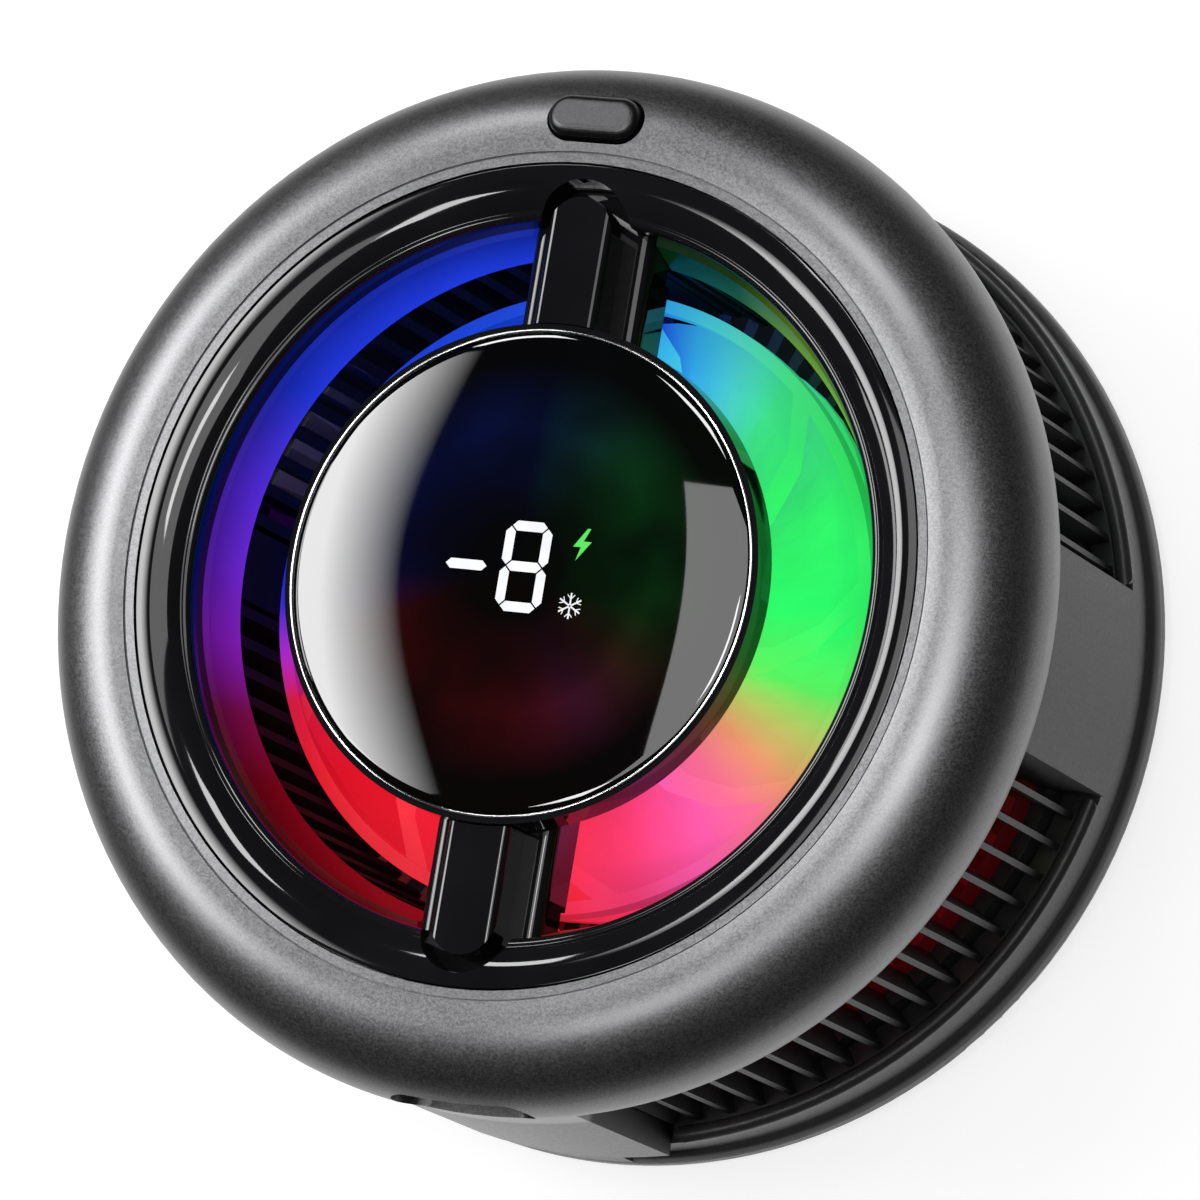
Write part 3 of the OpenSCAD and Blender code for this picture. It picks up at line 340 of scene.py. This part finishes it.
# Satin paint: each cell of a fine pattern takes its own brightness and gloss, slow noise shifts the tone a little,
# and the apron under the roll is darkened as painted shade
satin, given, result, place = effect(
    "satin", [("Colour", "Color", (0.19, 0.19, 0.195, 1)), ("Flake", "Float", 11000.0),
              ("Gloss", "Float", 0.35)], ["Base Color", "Roughness", "Height"])
apron_top, roll_foot = 0.0188, 0.0196
flake = add(satin, "TexVoronoi", Vector=place, Scale=given["Flake"]).outputs["Color"]
glint = add(satin, "SeparateColor", Color=flake).outputs[0]
mist = add(satin, "TexNoise", Vector=place, Scale=120.0, Detail=2.0).outputs[0]
height = add(satin, "SeparateXYZ", Vector=place).outputs[2]
# Painted shade: the colour falls to 0.14 of itself below the foot of the roll, on the apron
tint = scaled(satin, given["Colour"], spread(satin, height, 0.14, 1.0, apron_top, roll_foot))
tint = scaled(satin, tint, spread(satin, glint, 0.8, 1.2, 0.0, 1.0))
surface(satin, result, tint, spread(satin, mist, 0.95, 1.05),
        given["Gloss"], spread(satin, glint, -0.04, 0.04, 0.0, 1.0), glint)
spun = skin("ring_satin", satin, {}, 2e-7, Metallic=1.0, Anisotropic=0.5)
tangent = outward(spun.node_tree, add(spun.node_tree, "TexCoord").outputs["Object"])
spun.node_tree.links.new(tangent, spun.node_tree.nodes["Principled BSDF"].inputs["Tangent"])
wear(spun, "front_ring")

# Power button
# A small pill sprayed with the ring's paint. It slides in a slot of the ring, on a moulded plunger that stands
# over a tact switch.
wear(skin("button_satin", satin, {"Colour": (0.075, 0.075, 0.077, 1), "Gloss": 0.36}, 2e-7, Metallic=1.0),
     "power_button")
wear(plastic("socket_plastic", (0.02, 0.02, 0.021), 4000.0, 0.4), "tact_switch", "switch_plunger", "usb_tongue")

# Power inlet
# A drawn steel USB-C shell with its moulded tongue, soldered to the main board and open at the foot of the ring.
wear(metal("socket_steel", (0.6, 0.6, 0.6), (100, 1800, 1800), 0.24), "usb_shell")

# Funnel, bridge bar and display cup
# Three high-gloss black mouldings: the air funnel inside the ring, the bar that spans it with its ends in the
# funnel's round pockets, and the round cup that the bar carries.

# Gloss: a polished face with the slightest waviness and a few duller patches
gloss, given, result, place = effect("gloss", [("Colour", "Color", (0.004, 0.004, 0.005, 1)),
                                               ("Gloss", "Float", 0.05)], ["Base Color", "Roughness", "Height"])
haze = add(gloss, "TexNoise", Vector=place, Scale=140.0, Detail=3.0).outputs[0]
wave = add(gloss, "TexNoise", Vector=place, Scale=60.0, Detail=0.0).outputs[0]
surface(gloss, result, given["Colour"], spread(gloss, haze, 0.8, 1.2),
        given["Gloss"], spread(gloss, haze, -0.015, 0.02), wave)
gloss_black = skin("gloss_black", gloss, {"Colour": (0.006, 0.006, 0.007, 1)}, 4e-6, IOR=1.52)
wear(gloss_black, "bezel_funnel", "bridge_bar", "display_cup")


def turned(line, turn):
    """Points of a profile of (radius, height) rows at angles round Z: (radius cos, radius sin, height)."""
    radius, height = line[:, :1], line[:, 1:]
    return np.stack([radius * np.cos(turn), radius * np.sin(turn), height + 0 * turn], -1).reshape(-1, 3)


def quads(at):
    """Faces between neighbouring rows and columns of a grid of point numbers."""
    return np.stack([at[:-1, :-1], at[:-1, 1:], at[1:, 1:], at[1:, :-1]], -1).reshape(-1, 4)


def solid(name, points, faces, material, sharp=None):
    """New piece of the housing from lists of points and faces, smooth up to the sharp angle in degrees."""
    mesh = bpy.data.meshes.new(name)
    mesh.from_pydata(points, [], faces)
    mesh.materials.append(material)
    if sharp:
        mesh.polygons.foreach_set("use_smooth", [True] * len(mesh.polygons))
        mesh.set_sharp_from_angle(angle=math.radians(sharp))
    piece = bpy.data.objects.new(name, mesh)
    bpy.context.scene.collection.objects.link(piece)
    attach(piece, "housing")
    return piece


# Funnel moulding: the profile has a flat brim, a quick turn, a wide convex face, a hollow and a round bead. It is
# turned round the axis in two halves, which end at the round pockets of the bar; the underside steps from the
# foot to the ledge. The profile is drawn in millimetres and then brought to metres.
brim = [[25.47, 28.5], [25.45, 28.54], [25.42, 28.55], [24.64, 28.55]]
bends = ((9, 0.7, 14), (38, 3.6, 36), (0, -0.25, 14), (90, 0.5, 24))  # lean to reach, radius, points
bead_foot = 26.03
profile = np.array(brim)
lean = 0.0
for lean_to, bend, count in bends:
    leans = np.linspace(lean, math.radians(lean_to), count)
    arc = np.stack([math.sin(lean) - np.sin(leans), np.cos(leans) - math.cos(lean)], -1)
    profile = np.concatenate([profile, profile[-1] + bend * arc[1:]])
    lean = leans[-1]
profile = np.concatenate([profile, [[profile[-1, 0], bead_foot]]]) * 1e-3

throat = 22.15e-3
foot, ledge = (23.3e-3, 25.8e-3), (24.4e-3, 27.0e-3)
sole_radius = np.maximum(profile[:, 0], throat)
sole = np.stack([sole_radius, np.interp(sole_radius, *zip(foot, ledge))], -1)

pocket_place, pocket_radius = 21.6e-3, 3e-3
points, faces = [], []
for side in (0, math.pi):
    start = len(points)
    for line in (profile, sole):
        radius = line[:, :1]
        meet = (radius ** 2 + pocket_place ** 2 - pocket_radius ** 2) / (2 * radius * pocket_place)
        gap = np.arccos(np.clip(meet, -1, 1))
        turn = side - math.pi / 2 + gap + np.linspace(0, 1, 240) * (math.pi - 2 * gap)
        points += turned(line, turn).tolist()
    at = start + np.arange(turn.size).reshape(turn.shape)
    top = quads(at)
    border = np.concatenate([at[0, :-1], at[:-1, -1], at[-1, :0:-1], at[:0:-1, 0]])
    after = np.roll(border, -1)
    faces += top.tolist() + (top[:, ::-1] + turn.size).tolist()
    faces += np.stack([border, border + turn.size, after + turn.size, after], -1).tolist()
funnel = solid("funnel_moulding", points, faces, gloss_black, sharp=40)
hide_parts("bezel_funnel")

# Display
# A domed lens of black glass in a bright trim ring, over a board with a reflector block. The signs shine
# through the glass: a minus, a seven-segment eight, a charge bolt and a snowflake.
wear(plastic("white_reflector", (0.7, 0.7, 0.68), 3000.0, 0.5), "digit_block")
bright_trim = metal("bright_trim", (0.8, 0.8, 0.81), (200, 200, 3000), 0.12, 2e-8)
wear(bright_trim, "lens_trim")

# Trim ring: a narrow hoop with a half-round top, whose closed outline is turned round the axis
low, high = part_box("lens_trim")
trim_half = 0.115e-3
bow = np.linspace(0, np.pi, 13)
outline = np.concatenate([[[high[0] - 2 * trim_half, low[2]], [high[0], low[2]]], np.stack(
    [high[0] - trim_half + trim_half * np.cos(bow), high[2] - trim_half + trim_half * np.sin(bow)], -1)])
turn = np.linspace(0, 2 * np.pi, 256, endpoint=False)
at = np.arange(len(outline) * turn.size).reshape(len(outline), turn.size)
faces = quads(np.pad(at, ((0, 1), (0, 1)), "wrap"))
trim = solid("trim_ring", turned(outline, turn).tolist(), faces.tolist(), bright_trim, sharp=40)
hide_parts("lens_trim")

lens_radius = 14.86e-3
lens_floor = 28.2e-3
lens_edge = 28.77e-3
lens_top = 29.57e-3


def dome(x, y):
    """Height of the lens face: it falls from the axis with the cube of the radius, so the edge is rounded most."""
    return lens_top - (lens_top - lens_edge) * (np.hypot(x, y) / lens_radius) ** 3


# Dark glass: nearly black, with a painted glow of the fan's colours in it, except where the module stands, and a
# faint painted tint of the same colours in its base colour
glass, given, result, place = effect("dark_glass", [("Painted Glow", "Float", 0.02)],
                                     ["Emission Color", "Base Color", "Roughness"])
module_edge, clear, lens_shade = 0.003, 0.009, 0.013
colours = add(glass, "Group", {"node_tree": fan_light}).outputs
radius = from_axis(glass, place)
wide = product(glass, spread(glass, radius, 0.0, 1.0, module_edge, clear),
               spread(glass, radius, 1.0, 0.0, clear, lens_shade))
patch = add(glass, "TexNoise", Vector=place, Scale=110.0, Detail=2.0).outputs[0]
# Painted glow of the fan's colours in the glass, in patches
painted_glow = product(glass, product(glass, wide, spread(glass, patch, 0.0, 1.0, 0.35, 0.7)), given["Painted Glow"])
glass.links.new(scaled(glass, colours["Emission Color"], painted_glow), result["Emission Color"])
# Painted tint: a faint share of the fan's colours in the base colour
glass.links.new(scaled(glass, colours["Base Color"], 0.02), result["Base Color"])
glass.links.new(spread(glass, patch, 0.015, 0.03), result["Roughness"])
black_glass = skin("black_glass", glass, {"Painted Glow": 0.04}, IOR=1.7, Emission_Strength=1.0)

# Lens: a wall, a corner rounded in two steps and the domed face, closed by a fan of triangles at each end
corner, chamfer = 5e-5, 1.5e-5
face = np.linspace(lens_radius - corner, 0, 40)[:-1]
outline = np.stack([
    np.concatenate([[lens_radius, lens_radius, lens_radius - chamfer], face]),
    np.concatenate([[lens_floor, lens_edge - corner, lens_edge - chamfer], dome(face, 0)])], -1)
turn = np.linspace(0, 2 * np.pi, 192, endpoint=False)
points = np.concatenate([turned(outline, turn), [[0, 0, lens_floor], [0, 0, lens_top]]])
at = np.arange(len(outline) * turn.size).reshape(len(outline), turn.size)
after = np.roll(at, -1, 1)
underside = np.stack([np.full(turn.size, at.size), after[0], at[0]], -1)
crown = np.stack([np.full(turn.size, at.size + 1), at[-1], after[-1]], -1)
faces = quads(np.pad(at, ((0, 0), (0, 1)), "wrap")).tolist() + underside.tolist() + crown.tolist()
lens = solid("display_glass", points.tolist(), faces, black_glass, sharp=30)
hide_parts("display_lens")

sign_rise, sign_depth = 1e-5, 5e-5


def sign(name, outlines, material):
    """Thin raised sign: flat outlines in millimetres, lifted onto the lens face and given sides and a floor."""
    points, faces = [], []
    for outline in outlines:
        flat = np.array(outline, float) * 1e-3
        count = len(flat)
        start = len(points)
        top = dome(flat[:, 0], flat[:, 1])
        points += np.column_stack([flat, top + sign_rise]).tolist()
        points += np.column_stack([flat, top - sign_depth]).tolist()
        here = np.arange(count)
        after = (here + 1) % count
        faces += [(start + here).tolist(), (start + count + here[::-1]).tolist()]
        faces += (start + np.stack([here + count, after + count, after, here], -1)).tolist()
    solid(name, points, faces, material)


# Lit sign: an almost even colour, with slow noise for a slight unevenness
shine, given, result, place = effect("shine", [("Colour", "Color", (1, 1, 1, 1))], ["Emission Color", "Roughness"])
even = add(shine, "TexNoise", Vector=place, Scale=700.0, Detail=0.0).outputs[0]
shine.links.new(scaled(shine, given["Colour"], spread(shine, even, 0.92, 1.0)), result["Emission Color"])
shine.links.new(spread(shine, even, 0.3, 0.4), result["Roughness"])
white_light = skin("sign_white", shine, {"Colour": (0.95, 0.96, 1.0, 1)}, Base_Color=(0, 0, 0, 1),
                   Emission_Strength=1.0)
green_light = skin("sign_green", shine, {"Colour": (0.05, 0.75, 0.06, 1)}, Base_Color=(0, 0, 0, 1),
                   Emission_Strength=1.0)

# Signs: all sizes in millimetres
digit_x, digit_y, digit_width, digit_height = 0.62, 0.23, 3.05, 5.6
bar_width, bar_gap = 0.62, 0.07


def segment(x0, y0, x1, y1):
    """Bar of a digit from one point to another, with pointed ends."""
    start, end = np.array([x0, y0]), np.array([x1, y1])
    along = (end - start) / np.linalg.norm(end - start)
    side = np.array([-along[1], along[0]]) * bar_width / 2
    start, end = start + along * bar_gap, end - along * bar_gap
    tip = along * bar_width / 2
    return [start, start + tip - side, end - tip - side, end, end - tip + side, start + tip + side]


columns = digit_x + np.array([-0.5, 0.5]) * (digit_width - bar_width)
rows = digit_y + np.array([-0.5, 0.0, 0.5]) * (digit_height - bar_width)
sign("sign_eight", [segment(columns[0], y, columns[1], y) for y in rows]
     + [segment(x, low, x, high) for x in columns for low, high in zip(rows, rows[1:])], white_light)
sign("sign_minus", [segment(-4.6, 0.06, -1.75, 0.06)], white_light)

bolt_size, bolt_corner = [1.2, 2.0], [3.58, 0.92]
bolt = np.array([(0.66, 1.0), (0.02, 0.42), (0.44, 0.42), (0.26, 0.0), (0.98, 0.6), (0.54, 0.6), (0.84, 1.0)])
sign("sign_bolt", [bolt * bolt_size + bolt_corner], green_light)

flake_middle = [4.02, -1.88]
stem = np.array([(0.06, -0.05), (0.8, -0.05), (0.8, 0.05), (0.06, 0.05)])
twig = np.array([(0.4, 0.0), (0.48, 0.0), (0.72, 0.24), (0.64, 0.24)])


def arm(angle):
    """One arm of the snowflake: the stem, the twig and its mirror image, turned by the angle."""
    way = np.array([[math.cos(angle), math.sin(angle)], [-math.sin(angle), math.cos(angle)]])
    return [bar @ way + flake_middle for bar in (stem, twig, twig[::-1] * [1, -1])]


sign("sign_snowflake", sum([arm(math.radians(30 + 60 * k)) for k in range(6)], []), white_light)

# Floor and light
# The part lies on its back on a white card that turns grey further out, and is clear from below. A soft box
# stands at its left, a wide dim one hangs overhead, and narrow strips draw the thin lines on the gloss black faces.
floor_half = 1.2
floor_mesh = bpy.data.meshes.new("floor")
floor_mesh.from_pydata([(-floor_half, -floor_half, 0), (floor_half, -floor_half, 0), (floor_half, floor_half, 0),
                        (-floor_half, floor_half, 0)], [], [(0, 1, 2, 3)])
floor = bpy.data.objects.new("floor", floor_mesh)
bpy.context.scene.collection.objects.link(floor)

# Card: its white glow shows to the camera and in reflections only, so that it adds no light to dull faces
card = bpy.data.materials.new("card")
card.use_nodes = True
card_tree = card.node_tree
card_shader = card_tree.nodes["Principled BSDF"]
card_shader.inputs["Roughness"].default_value = 0.9
card_shader.inputs["Specular IOR Level"].default_value = 0.0
card_shader.inputs["Emission Strength"].default_value = 0.8
white_middle, white_edge, grey_edge = (-0.01, 0.004, 0), 0.062, 0.1
path = add(card_tree, "LightPath").outputs
seen = add(card_tree, "Math", _0=path["Is Camera Ray"], _1=path["Is Glossy Ray"]).outputs[0]
seen = add(card_tree, "Math", {"use_clamp": True}, _0=seen, _1=path["Is Transmission Ray"]).outputs[0]
spot = add(card_tree, "TexCoord").outputs["Object"]
far = add(card_tree, "VectorMath", {"operation": "DISTANCE"}, _0=spot, _1=white_middle).outputs["Value"]
white = spread(card_tree, far, 1.0, 0.0, white_edge, grey_edge)
behind = add(card_tree, "NewGeometry").outputs["Backfacing"]
card_tree.links.new(product(card_tree, seen, white), card_shader.inputs["Emission Color"])
card_tree.links.new(spread(card_tree, white, 0.12, 0.3, 0.0, 1.0), card_shader.inputs["Base Color"])
card_tree.links.new(spread(card_tree, behind, 1.0, 0.0, 0.0, 1.0), card_shader.inputs["Alpha"])
floor_mesh.materials.append(card)


def lamp(name, tilt, turn, distance, width, height, radiance, roll=0, fade=None):
    """Area lamp aimed at the origin, tilt degrees off the front axis and turned round that axis.

    Sizes are in metres. Roll turns the lamp in its own plane, and fade is the share of its height that dims out.
    """
    data = bpy.data.lights.new(name, "AREA")
    data.shape = "RECTANGLE"
    data.size, data.size_y = width, height
    data.energy = radiance * math.pi * width * height
    if fade:
        data.use_nodes = True
        tree = data.node_tree
        across = add(tree, "SeparateXYZ", Vector=add(tree, "NewGeometry").outputs["Parametric"]).outputs[1]
        soft = spread(tree, across, 1.0, 0.0, 1.0 - fade, 1.0)
        tree.links.new(soft, tree.nodes["Emission"].inputs["Strength"])
    made = bpy.data.objects.new(name, data)
    bpy.context.scene.collection.objects.link(made)
    tilt, turn = math.radians(tilt), math.radians(turn)
    way = Vector((math.sin(tilt) * math.cos(turn), math.sin(tilt) * math.sin(turn), math.cos(tilt)))
    made.location = way * distance
    made.rotation_euler = (way.to_track_quat("Z", "Y") @ Quaternion((0, 0, 1), math.radians(roll))).to_euler()


lamp("key", 37.5, 169, 0.5, 0.3, 0.15, 11.5, roll=18, fade=0.55)
lamp("side", 51, 172, 0.5, 0.2, 0.05, 6.0)
lamp("over", 7, 8, 0.62, 0.4, 0.38, 2.5)
lamp("zenith", 5.5, 15, 0.6, 0.14, 0.06, 13.0)
lamp("front", 20, 238, 0.5, 0.1, 0.05, 13.0)
lamp("back", 29, 97, 0.5, 0.12, 0.06, 13.0)
lamp("corner", 47, 127, 0.5, 0.1, 0.06, 13.0)
world = bpy.data.worlds.new("studio")
bpy.context.scene.world = world
world.use_nodes = True
world.node_tree.nodes["Background"].inputs["Color"].default_value = (1, 1, 1, 1)
world.node_tree.nodes["Background"].inputs["Strength"].default_value = 0.03

# Camera
# A long lens 0.6 m from the front rim, 25 degrees off its axis, rolled as the photo shows the part.
camera_distance = 0.6
toward = Vector((0.39440826, -0.15505734, 0.90575899))
right = Vector((0.91456723, 0.16222524, -0.37047234))
up = Vector((-0.08949252, 0.97449484, 0.20579333))
aim = Vector((0, 0, 0.0288)) + right * 0.00491541 - up * 0.00167625
camera_data = bpy.data.cameras.new("camera")
camera_data.lens = 298.03
camera = bpy.data.objects.new("camera", camera_data)
bpy.context.scene.collection.objects.link(camera)
stand = Matrix((right, up, toward)).transposed().to_4x4()
stand.translation = aim + toward * camera_distance
camera.matrix_world = stand
bpy.context.scene.camera = camera
bpy.context.scene.view_settings.view_transform = "Standard"
